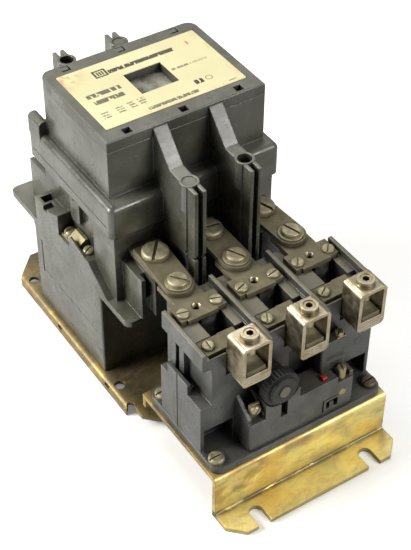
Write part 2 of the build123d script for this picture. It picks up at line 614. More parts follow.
    # Contact chamber above the deck and armature chamber below it.
    block(-CHAMBER_HALF_WIDTH, CHAMBER_HALF_WIDTH, CONTACTOR_Y - CHAMBER_HALF_DEPTH,
          CONTACTOR_Y + CHAMBER_HALF_DEPTH, DECK_TOP, HOUSING_TOP, Mode.SUBTRACT)
    block(-ARMATURE_ROOM_X, ARMATURE_ROOM_X, lower_front + WALL, housing_rear - 4, LOWER_TOP,
          DECK_TOP - DECK_THICKNESS, Mode.SUBTRACT)
    block(-8.5, 8.5, CONTACTOR_Y - 17, CONTACTOR_Y + 17, DECK_TOP - DECK_THICKNESS - 1, DECK_TOP + 1,
          Mode.SUBTRACT)
    for end in SIDES:
        for side in SIDES:
            reach_block(side * FIN_X - BARRIER_HALF, side * FIN_X + BARRIER_HALF, CARRIER_SLOT_HALF,
                        CHAMBER_HALF_DEPTH, DECK_TOP, HOUSING_TOP, end)
        for pole in POLES:
            x = pole * POLE_PITCH
            reach_block(x - 7, x + 7, INNER_REACH, CHAMBER_HALF_DEPTH, DECK_TOP,
                        TERMINAL_TOP - TERMINAL_THICKNESS, end)
            reach_block(x - 7.05, x + 7.05, CHAMBER_HALF_DEPTH - 1, FIN_REACH,
                        TERMINAL_TOP - TERMINAL_THICKNESS,
                        TERMINAL_TOP + RUNNING_FIT, end, Mode.SUBTRACT)
            round_hole(x, CONTACTOR_Y + end * SCREW_REACH, 76, 92, 2.5)
        for side in SIDES:
            round_hole(side * FIN_X, CONTACTOR_Y + end * BOSS_REACH, COVER_SCREW_FOOT, FIN_SEAM + 1,
                       COVER_SCREW_RADIUS)
contactor_housing.part.label = "contactor_housing"
export_step(contactor_housing.part, "parts/contactor_housing.step")

# Coil terminals: two brass plates in the left ledge, each with a screw; the rear one has a clamp.
TERMINAL_SHEET = 1.2
with BuildPart() as coil_terminals:
    block(COIL_TERMINAL_X - 3.4, COIL_TERMINAL_X + 3.1, CLAMP_FRONT_Y, LEDGE_STEP_Y - 0.3,
          LEDGE_RECESS_FLOOR, LEDGE_RECESS_FLOOR + TERMINAL_SHEET)
    block(COIL_TERMINAL_X - 3, COIL_TERMINAL_X + 2.7, COIL_TERMINAL_FRONT_Y - 3.4,
          COIL_TERMINAL_FRONT_Y + 3.4,
          COIL_FRONT_SEAT, COIL_FRONT_SEAT + TERMINAL_SHEET)
    for terminal_y in (COIL_TERMINAL_REAR_Y, COIL_TERMINAL_FRONT_Y):
        round_hole(COIL_TERMINAL_X, terminal_y, LEDGE_RECESS_FLOOR - 1, CLAMP_TOP, SMALL_SHANK)
coil_terminals.part.label = "coil_terminals"
export_step(coil_terminals.part, "parts/coil_terminals.step")

with BuildPart() as coil_terminal_clamp:
    # A bent saddle: its back rises towards the housing.
    with BuildSketch(Plane.XZ.offset(-CLAMP_FRONT_Y)):
        with BuildLine():
            Polyline(
                (COIL_TERMINAL_X - 3.4, LEDGE_RECESS_FLOOR + TERMINAL_SHEET),
                (COIL_TERMINAL_X + 3.0, LEDGE_RECESS_FLOOR + TERMINAL_SHEET),
                (COIL_TERMINAL_X + 3.0, CLAMP_TOP),
                (COIL_TERMINAL_X + 1.2, CLAMP_TOP),
                (COIL_TERMINAL_X - 3.4, CLAMP_TOP - 3.4),
                close=True,
            )
        make_face()
    extrude(amount=CLAMP_FRONT_Y - CLAMP_REAR_Y)
coil_terminal_clamp.part.label = "coil_terminal_clamp"
export_step(coil_terminal_clamp.part, "parts/coil_terminal_clamp.step")

with BuildPart() as coil_terminal_screws:
    with Locations((COIL_TERMINAL_X, COIL_TERMINAL_REAR_Y, LEDGE_RECESS_FLOOR + TERMINAL_SHEET)):
        add(slotted_screw(3.3, 3.2, SMALL_SHANK, TERMINAL_SHEET))
    with Locations((COIL_TERMINAL_X, COIL_TERMINAL_FRONT_Y, COIL_FRONT_SEAT + TERMINAL_SHEET)):
        add(slotted_screw(3.0, 2.2, SMALL_SHANK, TERMINAL_SHEET, turn=25))
coil_terminal_screws.part.label = "coil_terminal_screws"
export_step(coil_terminal_screws.part, "parts/coil_terminal_screws.step")

# ---------------------------------------------------------------- fixed contacts
SCREW_SHANK = 2.5


def terminal_bars(end):
    """The three fixed contact bars of one end, each with its screw hole."""
    for pole in POLES:
        x = pole * POLE_PITCH
        reach_block(x - TERMINAL_HALF_WIDTH, x + TERMINAL_HALF_WIDTH, INNER_REACH, TERMINAL_REACH,
                    TERMINAL_TOP - TERMINAL_THICKNESS, TERMINAL_TOP, end)
        round_hole(x, CONTACTOR_Y + end * SCREW_REACH, TERMINAL_TOP - 4, TERMINAL_TOP + 1, SCREW_SHANK)


with BuildPart() as load_terminals:
    terminal_bars(-1)
load_terminals.part.label = "load_terminals"
export_step(load_terminals.part, "parts/load_terminals.step")

with BuildPart() as line_terminals:
    terminal_bars(1)
line_terminals.part.label = "line_terminals"
export_step(line_terminals.part, "parts/line_terminals.step")

with BuildPart() as fixed_contact_tips:
    for end in SIDES:
        for pole in POLES:
            x = pole * POLE_PITCH
            reach_block(x - 4, x + 4, TIP_OFFSET - 4, TIP_OFFSET + 4, TERMINAL_TOP,
                        TERMINAL_TOP + TIP_THICKNESS, end)
fixed_contact_tips.part.label = "fixed_contact_tips"
export_step(fixed_contact_tips.part, "parts/fixed_contact_tips.step")

LOAD_SCREW_Y = CONTACTOR_Y - SCREW_REACH
LINE_SCREW_Y = CONTACTOR_Y + SCREW_REACH
STRAP_TOP = TERMINAL_TOP + STRAP_THICKNESS
BIG_HEAD = 6.6
BIG_HEAD_HEIGHT = 3.2
BIG_CROWN = 0.45
with BuildPart() as line_terminal_screws:
    for pole in POLES:
        with Locations((pole * POLE_PITCH, LINE_SCREW_Y, TERMINAL_TOP)):
            add(slotted_screw(BIG_HEAD, BIG_HEAD_HEIGHT, SCREW_SHANK, 14, BIG_CROWN, 35 + 50 * pole))
line_terminal_screws.part.label = "line_terminal_screws"
export_step(line_terminal_screws.part, "parts/line_terminal_screws.step")

with BuildPart() as load_terminal_screws:
    for pole in POLES:
        with Locations((pole * POLE_PITCH, LOAD_SCREW_Y, STRAP_TOP)):
            add(slotted_screw(BIG_HEAD, BIG_HEAD_HEIGHT, SCREW_SHANK, 16, BIG_CROWN, 170 - 60 * pole))
load_terminal_screws.part.label = "load_terminal_screws"
export_step(load_terminal_screws.part, "parts/load_terminal_screws.step")

# Straps: copper bars from the contactor's load terminals to the relay's line plates.
STRAP_HALF_WIDTH = 7.4
STRAP_SCREW_SHANK = 2.0
PLATE_THICKNESS = 2.5
with BuildPart() as load_straps:
    for pole in POLES:
        rear_point = (pole * POLE_PITCH, LOAD_SCREW_Y)
        front_point = (pole * RELAY_PITCH, STRAP_SCREW_Y)
        middle_point = (pole * (POLE_PITCH + RELAY_PITCH) / 2, (LOAD_SCREW_Y + STRAP_SCREW_Y) / 2)
        with BuildSketch(Plane.XY.offset(TERMINAL_TOP)):
            SlotCenterPoint(middle_point, front_point, 2 * STRAP_HALF_WIDTH)
            with Locations((rear_point[0], LOAD_SCREW_Y + 4.2)):
                Rectangle(2 * STRAP_HALF_WIDTH - 0.4, 8.4)
        extrude(amount=STRAP_THICKNESS)
        round_hole(rear_point[0], LOAD_SCREW_Y, TERMINAL_TOP - 1, STRAP_TOP + 1, SCREW_SHANK)
        round_hole(front_point[0], STRAP_SCREW_Y, TERMINAL_TOP - 1, STRAP_TOP + 1, STRAP_SCREW_SHANK)
load_straps.part.label = "load_straps"
export_step(load_straps.part, "parts/load_straps.step")

with BuildPart() as strap_screws:
    # Each screw carries a captive washer.
    washer_top = STRAP_TOP + 0.8
    shank_length = washer_top - RELAY_DECK + PLATE_THICKNESS
    for pole in POLES:
        with Locations((pole * RELAY_PITCH, STRAP_SCREW_Y, (STRAP_TOP + washer_top) / 2)):
            Cylinder(6.3, washer_top - STRAP_TOP)
        with Locations((pole * RELAY_PITCH, STRAP_SCREW_Y, washer_top)):
            add(slotted_screw(5.0, 2.1, STRAP_SCREW_SHANK, shank_length, turn=118 - 10 * pole))
strap_screws.part.label = "strap_screws"
export_step(strap_screws.part, "parts/strap_screws.step")

# ---------------------------------------------------------------- arc cover and top cover
WINDOW_HALF_X = 10.2
WINDOW_HALF_Y = 8.9
COVER_WALL = 3.0
OPENING_HALF_X = 6.6
OPENING_HALF_Y = 5.2
REAR_CORNER = 5.5
NOSE_ROUNDING = 3.2
RAMP_FOOT_REACH = 46.1
REAR_HORN_INNER_X = 42.0
REAR_HORN_FRONT_Y = 66.0
REAR_HORN_TOP = 129.0


def cover_outline():
    """The outline shared by the arc cover's upper part and the top cover."""
    with Locations((0, CONTACTOR_Y)):
        outline = Rectangle(2 * COVER_HALF_WIDTH, 2 * COVER_HALF_DEPTH)
    fillet(outline.vertices().group_by(Axis.Y)[-1], REAR_CORNER)


with BuildPart() as arc_cover:
    block(-ARC_HALF_WIDTH, ARC_HALF_WIDTH, CONTACTOR_Y - ARC_HALF_DEPTH, CONTACTOR_Y + ARC_HALF_DEPTH,
          HOUSING_TOP, ARC_SHOULDER)
    fillet(arc_cover.edges().filter_by(Axis.Z), 3.0)
    fillet(arc_cover.edges().group_by(Axis.Z)[-1], 3.5)
    with BuildSketch(Plane.XY.offset(HOUSING_TOP)):
        cover_outline()
    extrude(amount=COVER_SEAM - HOUSING_TOP)
    for side in SIDES:
        for end in SIDES:
            # Side view of a fin: a steep ramp from the cover's edge, then a rounded nose down to its seam.
            edge_y = CONTACTOR_Y + end * COVER_HALF_DEPTH
            foot_y = CONTACTOR_Y + end * HOUSING_HALF_DEPTH
            ramp_y = CONTACTOR_Y + end * RAMP_FOOT_REACH
            for reach, half_width in ((FIN_SHOULDER_REACH, FIN_HALF_WIDTH), (FIN_REACH,
                                                                             FIN_NOSE_HALF_WIDTH)):
                nose_y = CONTACTOR_Y + end * reach
                with BuildSketch(Plane.YZ.offset(side * FIN_X)):
                    with BuildLine():
                        Polyline(
                            (edge_y, COVER_TOP - 1),
                            (ramp_y, BOSS_TOP),
                            (nose_y, BOSS_TOP - 0.5),
                            (nose_y, FIN_SEAM),
                            (foot_y, FIN_SEAM),
                            (foot_y, HOUSING_TOP),
                            (edge_y, HOUSING_TOP),
                            close=True,
                        )
                    fin = make_face()
                    fillet(fin.vertices().sort_by_distance((side * FIN_X, nose_y, BOSS_TOP))[0],
                           NOSE_ROUNDING)
                extrude(amount=half_width, both=True)
            with Locations((side * FIN_X, CONTACTOR_Y + end * BOSS_REACH,
                            (SCREW_SEAT_Z + BOSS_TOP) / 2 - 3)):
                Cylinder(BOSS_RADIUS, BOSS_TOP - SCREW_SEAT_Z + 6)
    # Raised horns at the rear corners of the shoulder.
    for side in SIDES:
        horn_x = side * (REAR_HORN_INNER_X + ARC_HALF_WIDTH) / 2
        horn_rear = CONTACTOR_Y + ARC_HALF_DEPTH - 1.5
        with BuildSketch(Plane.XZ.offset(-horn_rear)):
            with Locations((horn_x, (ARC_SHOULDER - 6 + REAR_HORN_TOP) / 2)):
                RectangleRounded(ARC_HALF_WIDTH - REAR_HORN_INNER_X, REAR_HORN_TOP - ARC_SHOULDER + 6, 2.5)
        extrude(amount=horn_rear - REAR_HORN_FRONT_Y)
    for side in SIDES:
        x = side * FIN_X
        for end in SIDES:
            boss_y = CONTACTOR_Y + end * BOSS_REACH
            reach_block(x - FIN_GAP_HALF, x + FIN_GAP_HALF, BOSS_REACH + BOSS_RADIUS - 0.6, FIN_REACH + 1,
                        FIN_SEAM - 1, BOSS_TOP + 1, end, Mode.SUBTRACT)
            round_hole(x, boss_y, SCREW_SEAT_Z, BOSS_TOP + 1, 3.5)
            round_hole(x, boss_y, FIN_SEAM - 1, SCREW_SEAT_Z + 1, COVER_SCREW_RADIUS + 0.2)
    # Chamber for the arcs, with barriers that leave a slot for the carrier.
    block(-COVER_HALF_WIDTH + COVER_WALL, COVER_HALF_WIDTH - COVER_WALL,
          CONTACTOR_Y - COVER_HALF_DEPTH + COVER_WALL, CONTACTOR_Y + COVER_HALF_DEPTH - COVER_WALL,
          HOUSING_TOP, COVER_SEAM - COVER_WALL, Mode.SUBTRACT)
    block(-ARC_HALF_WIDTH + COVER_WALL + 3, ARC_HALF_WIDTH - COVER_WALL - 3,
          CONTACTOR_Y - CHAMBER_HALF_DEPTH, CONTACTOR_Y + CHAMBER_HALF_DEPTH,
          HOUSING_TOP, ARC_SHOULDER - COVER_WALL, Mode.SUBTRACT)
    for side in SIDES:
        for end in SIDES:
            reach_block(side * FIN_X - BARRIER_HALF, side * FIN_X + BARRIER_HALF, CARRIER_SLOT_HALF,
                        CHAMBER_HALF_DEPTH, HOUSING_TOP, ARC_SHOULDER - COVER_WALL, end)
            reach_block(side * FIN_X - BARRIER_HALF, side * FIN_X + BARRIER_HALF, CARRIER_SLOT_HALF,
                        COVER_HALF_DEPTH - COVER_WALL, ARC_SHOULDER - COVER_WALL,
                        COVER_SEAM - COVER_WALL, end)
    block(INDICATOR_X - OPENING_HALF_X, INDICATOR_X + OPENING_HALF_X, INDICATOR_Y - OPENING_HALF_Y,
          INDICATOR_Y + OPENING_HALF_Y, COVER_SEAM - COVER_WALL - 1, COVER_SEAM + 1, Mode.SUBTRACT)
    # Shallow line around the foot of the cover, on both sides.
    for side in SIDES:
        block(side * ARC_HALF_WIDTH - 0.5, side * ARC_HALF_WIDTH + 0.5, CONTACTOR_Y - 36, CONTACTOR_Y + 36,
              109.2, 109.9, Mode.SUBTRACT)
arc_cover.part.label = "arc_cover"
export_step(arc_cover.part, "parts/arc_cover.step")

EDGE_HOLE_HALF = 2.1
EDGE_HOLE_REACH = 28.6
with BuildPart() as top_cover:
    with BuildSketch(Plane.XY.offset(COVER_SEAM)):
        cover_outline()
    extrude(amount=COVER_TOP - COVER_SEAM)
    fillet(top_cover.edges().group_by(Axis.Z)[-1], 1.0)
    block(-WINDOW_HALF_X, WINDOW_HALF_X, CONTACTOR_Y - WINDOW_HALF_Y, CONTACTOR_Y + WINDOW_HALF_Y,
          COVER_SEAM, COVER_TOP, Mode.SUBTRACT)
    for end in SIDES:
        for pole in POLES:
            x = pole * POLE_PITCH
            reach_block(x - EDGE_HOLE_HALF, x + EDGE_HOLE_HALF, EDGE_HOLE_REACH - EDGE_HOLE_HALF,
                        EDGE_HOLE_REACH + EDGE_HOLE_HALF, COVER_TOP - 3, COVER_TOP, end, Mode.SUBTRACT)
    # Snap tabs stand in the left part of the rear holes.
    for pole in POLES:
        x = pole * POLE_PITCH - 0.8
        reach_block(x - EDGE_HOLE_HALF, x + EDGE_HOLE_HALF, EDGE_HOLE_REACH - 1.3, EDGE_HOLE_REACH + 1.3,
                    COVER_TOP - 3, COVER_TOP + 0.2, 1)
top_cover.part.label = "top_cover"
export_step(top_cover.part, "parts/top_cover.step")

LABEL_HALF_WIDTH = 38.0
LABEL_HALF_DEPTH = 23.8
with BuildPart() as name_label:
    with BuildSketch(Plane.XY.offset(COVER_TOP)):
        with Locations((0, CONTACTOR_Y)):
            RectangleRounded(2 * LABEL_HALF_WIDTH, 2 * LABEL_HALF_DEPTH, 0.8)
            Rectangle(2 * WINDOW_HALF_X, 2 * WINDOW_HALF_Y, mode=Mode.SUBTRACT)
    extrude(amount=LABEL_THICKNESS)
name_label.part.label = "name_label"
export_step(name_label.part, "parts/name_label.step")

with BuildPart() as window_lens:
    block(-WINDOW_HALF_X, WINDOW_HALF_X, CONTACTOR_Y - WINDOW_HALF_Y, CONTACTOR_Y + WINDOW_HALF_Y,
          COVER_SEAM, COVER_SEAM + 1.2)
window_lens.part.label = "window_lens"
export_step(window_lens.part, "parts/window_lens.step")

with BuildPart() as cover_screws:
    cover_screw = slotted_screw(3.2, 2.4, COVER_SCREW_RADIUS, SCREW_SEAT_Z - COVER_SCREW_FOOT)
    for end in SIDES:
        with Locations((0, CONTACTOR_Y + end * BOSS_REACH, SCREW_SEAT_Z)):
            with GridLocations(2 * FIN_X, 1, 2, 1):
                add(cover_screw)
cover_screws.part.label = "cover_screws"
export_step(cover_screws.part, "parts/cover_screws.step")

# Plugs close the screw wells of two bosses; the front right and rear left wells are open.
with BuildPart() as screw_plugs:
    for plug_x, end in ((-FIN_X, -1), (FIN_X, 1)):
        with BuildSketch(Plane.XY.offset(SCREW_SEAT_Z + 3.5)):
            with Locations((plug_x, CONTACTOR_Y + end * BOSS_REACH)):
                Circle(3.5)
        extrude(amount=BOSS_TOP - SCREW_SEAT_Z - 3.9)
screw_plugs.part.label = "screw_plugs"
export_step(screw_plugs.part, "parts/screw_plugs.step")

# ---------------------------------------------------------------- overload relay: housing
RELAY_LOWER_HALF_WIDTH = 48.5
SHELF_Z = 61.0
BAND_BOTTOM = 85.2
RECESS_INNER_X = 42.5
RIM_THICKNESS = 2.0
SIDE_LIP_FRONT_Y = -68.4
SIDE_LIP_REAR_Y = -51.3
SIDE_LIP_TOP = 67.0
FOOT_HALF_WIDTH = 48.8
FOOT_FRONT_Y = -92.8
FOOT_REAR_Y = -33.0
FOOT_THICKNESS = 4.0
RELAY_FLOOR = BRACKET_TOP + FOOT_THICKNESS
RELAY_CEILING = 62.0
CHAMBER_FRONT_Y = -70.0
CHAMBER_REAR_Y = -48.0
FOOT_POCKET_DEPTH = 8.3
FOOT_POCKET_HEIGHT = 14.0
BARRIER_FRONT_Y = -86.0
BARRIER_BOTTOM = 80.0
WELL_LEFT = -3.5
WELL_RIGHT = 9.4
WELL_FRONT_Y = -68.0
WELL_REAR_Y = -54.0
WELL_FLOOR = 66.0
LOAD_PLATE_LEFT = -11.5
LOAD_PLATE_REAR_Y = -67.0
LOAD_PLATE_FRONT_Y = -78.4
PLATE_SCREW_LEFT = -8.0
PLATE_SCREW_RIGHT = 9.7
PLATE_SCREW_Y = -51.1
LOAD_PLATE_SCREW_Y = -71.8
PLATE_SCREW_SHANK = 1.3
PLATE_SCREW_BITE = 5.0
SPLICE_HOLE_Y = -49.5
SPLICE_HOLE_RADIUS = 2.35
BIMETAL_X = 3.0
DIAL_X = -12.0
DIAL_Z = 64.5
BUTTON_RADIUS = 3.0
BUTTON_BORE_END_Y = -73.0
TRIP_BAR_Y = -62.5
TRIP_BAR_HALF = 2.0
TRIP_BAR_BOTTOM = 34.0
TRIP_BAR_TOP = 38.0
TRIP_GUIDE_X = 20.0
relay_side_middle_y = (RELAY_FACE_Y + RELAY_SIDE_REAR_Y) / 2
load_plate_bottom = RELAY_DECK - PLATE_THICKNESS

with BuildPart() as relay_housing:
    # Foot plate with rounded corners, then the lower block, the body and its narrower rear end.
    with BuildSketch(Plane.XY.offset(BRACKET_TOP)):
        with Locations((0, (FOOT_FRONT_Y + FOOT_REAR_Y) / 2)):
            RectangleRounded(2 * FOOT_HALF_WIDTH, FOOT_REAR_Y - FOOT_FRONT_Y, 5.5)
    extrude(amount=FOOT_THICKNESS)
    block(-RELAY_LOWER_HALF_WIDTH, RELAY_LOWER_HALF_WIDTH, RELAY_FACE_Y, RELAY_SIDE_REAR_Y, BRACKET_TOP,
          SHELF_Z)
    block(-RELAY_HALF_WIDTH, RELAY_HALF_WIDTH, RELAY_FACE_Y, RELAY_SIDE_REAR_Y, SHELF_Z, RELAY_DECK)
    rear_half_width = RELAY_PITCH + 7.8
    block(-rear_half_width, rear_half_width, RELAY_SIDE_REAR_Y, RELAY_REAR_Y, BRACKET_TOP, RELAY_DECK)
    for side in SIDES:
        # The recess above the shelf runs right through, with two upright ribs and a raised lip.
        recess_middle = side * (RECESS_INNER_X + RELAY_LOWER_HALF_WIDTH) / 2
        recess_half = (RELAY_LOWER_HALF_WIDTH - RECESS_INNER_X) / 2
        block(recess_middle - recess_half, recess_middle + recess_half, RELAY_FACE_Y, RELAY_SIDE_REAR_Y,
              SHELF_Z, BAND_BOTTOM, Mode.SUBTRACT)
        for rib_y, rib_half in ((-58.4, 1.9), (-52.0, 1.5)):
            block(side * RECESS_INNER_X - 2.7, side * RECESS_INNER_X + 2.7, rib_y - rib_half,
                  rib_y + rib_half,
                  SHELF_Z, BAND_BOTTOM)
        lip_x = side * (RELAY_LOWER_HALF_WIDTH - 1)
        block(lip_x - 1, lip_x + 1, SIDE_LIP_FRONT_Y, SIDE_LIP_REAR_Y, SHELF_Z - 1, SIDE_LIP_TOP)
        block(lip_x + side - 0.5, lip_x + side + 0.5, relay_side_middle_y + 2.6, relay_side_middle_y + 3.3,
              RELAY_FLOOR, SIDE_LIP_TOP, Mode.SUBTRACT)
        # Rim that stands above the deck.
        rim_x = side * (RELAY_HALF_WIDTH - RIM_THICKNESS / 2)
        block(rim_x - 1, rim_x + 1, RELAY_FACE_Y, RELAY_SIDE_REAR_Y, RELAY_DECK - 1, RELAY_WALL_TOP)
        # Pockets above the front foot screws, and the four foot holes.
        pocket_x = side * 38.6
        block(pocket_x - 8, pocket_x + 8, RELAY_FACE_Y, RELAY_FACE_Y + FOOT_POCKET_DEPTH, RELAY_FLOOR,
              RELAY_FLOOR + FOOT_POCKET_HEIGHT, Mode.SUBTRACT)
        round_hole(side * RELAY_EAR_X, RELAY_EAR_Y, BRACKET_TOP - 1, RELAY_FLOOR + 1, FOOT_SCREW_SHANK)
        round_hole(side * RELAY_REAR_FOOT_X, RELAY_REAR_FOOT_Y, BRACKET_TOP - 1, RELAY_FLOOR + 1,
                   FOOT_SCREW_SHANK)
        # Barriers between the poles.
        barrier_x = side * RELAY_PITCH / 2
        block(barrier_x - 1, barrier_x + 1, BARRIER_FRONT_Y, RELAY_REAR_Y, BARRIER_BOTTOM, RELAY_WALL_TOP)
    # Bimetal chamber, open at the front behind the front cover.
    chamber_half_width = 41.0
    front_opening_half = 27.0
    block(-chamber_half_width, chamber_half_width, CHAMBER_FRONT_Y, CHAMBER_REAR_Y, RELAY_FLOOR,
          RELAY_CEILING,
          Mode.SUBTRACT)
    block(-front_opening_half, front_opening_half, RELAY_FACE_Y, CHAMBER_FRONT_Y, RELAY_FLOOR, 50,
          Mode.SUBTRACT)
    # Pocket beside the dial.
    block(0, 15.8, RELAY_FACE_Y, -74, 50, 72, Mode.SUBTRACT)
    for pole in POLES:
        x = pole * RELAY_PITCH
        lug_x = x + LUG_OFFSET_X
        lug_room = LUG_HALF_WIDTH + 0.5
        block(x + WELL_LEFT, x + WELL_RIGHT, WELL_FRONT_Y, WELL_REAR_Y, WELL_FLOOR, RELAY_DECK,
              Mode.SUBTRACT)
        block(x + BIMETAL_X - 2, x + BIMETAL_X + 2, WELL_FRONT_Y + 1, WELL_REAR_Y - 4, RELAY_CEILING,
              WELL_FLOOR,
              Mode.SUBTRACT)
        block(lug_x - lug_room, lug_x + lug_room, RELAY_FACE_Y, LOAD_PLATE_FRONT_Y + 0.1, LUG_BOTTOM - 1,
              RELAY_DECK, Mode.SUBTRACT)
        block(x + LOAD_PLATE_LEFT - 0.2, x + 8.2, LOAD_PLATE_FRONT_Y - 0.3, LOAD_PLATE_REAR_Y,
              load_plate_bottom, RELAY_DECK, Mode.SUBTRACT)
        block(x + 8.2, x + 13.6, RELAY_FACE_Y, LOAD_PLATE_REAR_Y - 0.2, RELAY_DECK - 7, RELAY_DECK,
              Mode.SUBTRACT)
        screw_foot = RELAY_DECK - PLATE_SCREW_BITE
        for screw_dx in (PLATE_SCREW_LEFT, PLATE_SCREW_RIGHT):
            round_hole(x + screw_dx, PLATE_SCREW_Y, screw_foot, RELAY_DECK + 1, PLATE_SCREW_SHANK)
        round_hole(x + PLATE_SCREW_LEFT, LOAD_PLATE_SCREW_Y, screw_foot, RELAY_DECK, PLATE_SCREW_SHANK)
        round_hole(x, SPLICE_HOLE_Y, RELAY_DECK - 7, RELAY_DECK + 1, SPLICE_HOLE_RADIUS)
    # Bore for the reset button, guides for the trip bar.
    bore_length = BUTTON_BORE_END_Y - RELAY_FACE_Y + 1
    with Locations(Location((DIAL_X, BUTTON_BORE_END_Y - bore_length / 2, DIAL_Z), (90, 0, 0))):
        Cylinder(BUTTON_RADIUS + RUNNING_FIT, bore_length, mode=Mode.SUBTRACT)
    for side in SIDES:
        guide_x = side * TRIP_GUIDE_X
        block(guide_x - 1, guide_x + 1, TRIP_BAR_Y - 6, TRIP_BAR_Y + 6, RELAY_FLOOR, TRIP_BAR_TOP + 2)
        block(guide_x - 2, guide_x + 2, TRIP_BAR_Y - TRIP_BAR_HALF - RUNNING_FIT,
              TRIP_BAR_Y + TRIP_BAR_HALF + RUNNING_FIT, TRIP_BAR_BOTTOM - RUNNING_FIT,
              TRIP_BAR_TOP + RUNNING_FIT, Mode.SUBTRACT)
relay_housing.part.label = "relay_housing"
export_step(relay_housing.part, "parts/relay_housing.step")

# ---------------------------------------------------------------- overload relay: current path
PLATE_TOP_Z = RELAY_DECK + PLATE_THICKNESS
LINE_PLATE_FRONT_Y = -56.0
LINE_PLATE_REAR_Y = -29.0
with BuildPart() as relay_line_plates:
    for pole in POLES:
        x = pole * RELAY_PITCH
        block(x - 8, x + 8, LINE_PLATE_FRONT_Y, LINE_PLATE_REAR_Y, RELAY_DECK, PLATE_TOP_Z)
        block(x - 11.3, x + 13, LINE_PLATE_FRONT_Y + 1, LINE_PLATE_FRONT_Y + 12, RELAY_DECK, PLATE_TOP_Z)
        round_hole(x, SPLICE_HOLE_Y, RELAY_DECK - 1, PLATE_TOP_Z + 1, SPLICE_HOLE_RADIUS)
        round_hole(x, STRAP_SCREW_Y, RELAY_DECK - 1, PLATE_TOP_Z + 1, STRAP_SCREW_SHANK)
        for screw_dx in (PLATE_SCREW_LEFT, PLATE_SCREW_RIGHT):
            round_hole(x + screw_dx, PLATE_SCREW_Y, RELAY_DECK - 1, PLATE_TOP_Z + 1, PLATE_SCREW_SHANK)
relay_line_plates.part.label = "relay_line_plates"
export_step(relay_line_plates.part, "parts/relay_line_plates.step")

TANG_TOP = 86.5
TANG_HALF_WIDTH = 5.0
tang_bottom = TANG_TOP - PLATE_THICKNESS
tang_front_y = LUG_FRONT_Y + 0.6
with BuildPart() as relay_load_plates:
    for pole in POLES:
        x = pole * RELAY_PITCH
        with BuildSketch(Plane.YZ.offset(x + LUG_OFFSET_X)):
            with BuildLine():
                Polyline(
                    (LOAD_PLATE_REAR_Y, RELAY_DECK),
                    (LOAD_PLATE_REAR_Y, load_plate_bottom),
                    (LOAD_PLATE_FRONT_Y, load_plate_bottom),
                    (LOAD_PLATE_FRONT_Y - 2.5, tang_bottom),
                    (tang_front_y, tang_bottom),
                    (tang_front_y, TANG_TOP),
                    (LOAD_PLATE_FRONT_Y - 2.1, TANG_TOP),
                    (LOAD_PLATE_FRONT_Y + 0.4, RELAY_DECK),
                    close=True,
                )
            make_face()
        extrude(amount=TANG_HALF_WIDTH, both=True)
        block(x + 8, x + 12, LOAD_PLATE_FRONT_Y, LOAD_PLATE_REAR_Y, RELAY_DECK - 6, RELAY_DECK,
              Mode.SUBTRACT)
        block(x + LOAD_PLATE_LEFT, x, LOAD_PLATE_FRONT_Y + 1.9, LOAD_PLATE_REAR_Y - 0.4,
              load_plate_bottom, RELAY_DECK)
        round_hole(x + PLATE_SCREW_LEFT, LOAD_PLATE_SCREW_Y, load_plate_bottom, RELAY_DECK,
                   PLATE_SCREW_SHANK)
relay_load_plates.part.label = "relay_load_plates"
export_step(relay_load_plates.part, "parts/relay_load_plates.step")

with BuildPart() as plate_screws:
    plate_head = 3.1
    plate_head_height = 1.5
    for pole in POLES:
        for screw_dx in (PLATE_SCREW_LEFT, PLATE_SCREW_RIGHT):
            with Locations((pole * RELAY_PITCH + screw_dx, PLATE_SCREW_Y, PLATE_TOP_Z)):
                add(slotted_screw(plate_head, plate_head_height, PLATE_SCREW_SHANK,
                                  PLATE_THICKNESS + PLATE_SCREW_BITE, turn=20 * screw_dx + 35 * pole))
        with Locations((pole * RELAY_PITCH + PLATE_SCREW_LEFT, LOAD_PLATE_SCREW_Y, RELAY_DECK)):
            add(slotted_screw(plate_head, plate_head_height, PLATE_SCREW_SHANK, PLATE_SCREW_BITE,
                              turn=60 - 25 * pole))
plate_screws.part.label = "plate_screws"
export_step(plate_screws.part, "parts/plate_screws.step")

# Heater ribbons hang in the wells: a leg under each line plate, a bottom run and a leg to the load plate.
with BuildPart() as heater_elements:
    for pole in POLES:
        x = pole * RELAY_PITCH
        heater_bottom = WELL_FLOOR + 1
        block(x - 1, x + 7, LINE_PLATE_FRONT_Y + 0.2, LINE_PLATE_FRONT_Y + 1.2, heater_bottom, RELAY_DECK)
        block(x - 1, x + 7, WELL_FRONT_Y + 0.05, LINE_PLATE_FRONT_Y + 1.2, heater_bottom, heater_bottom + 1)
        block(x - 1, x + 7, WELL_FRONT_Y + 0.05, WELL_FRONT_Y + 1, heater_bottom, load_plate_bottom)
heater_elements.part.label = "heater_elements"
export_step(heater_elements.part, "parts/heater_elements.step")

with BuildPart() as bimetal_strips:
    for pole in POLES:
        x = pole * RELAY_PITCH + BIMETAL_X
        block(x - 0.4, x + 0.4, -66, -59, TRIP_BAR_TOP + 2, WELL_FLOOR + 1)
bimetal_strips.part.label = "bimetal_strips"
export_step(bimetal_strips.part, "parts/bimetal_strips.step")

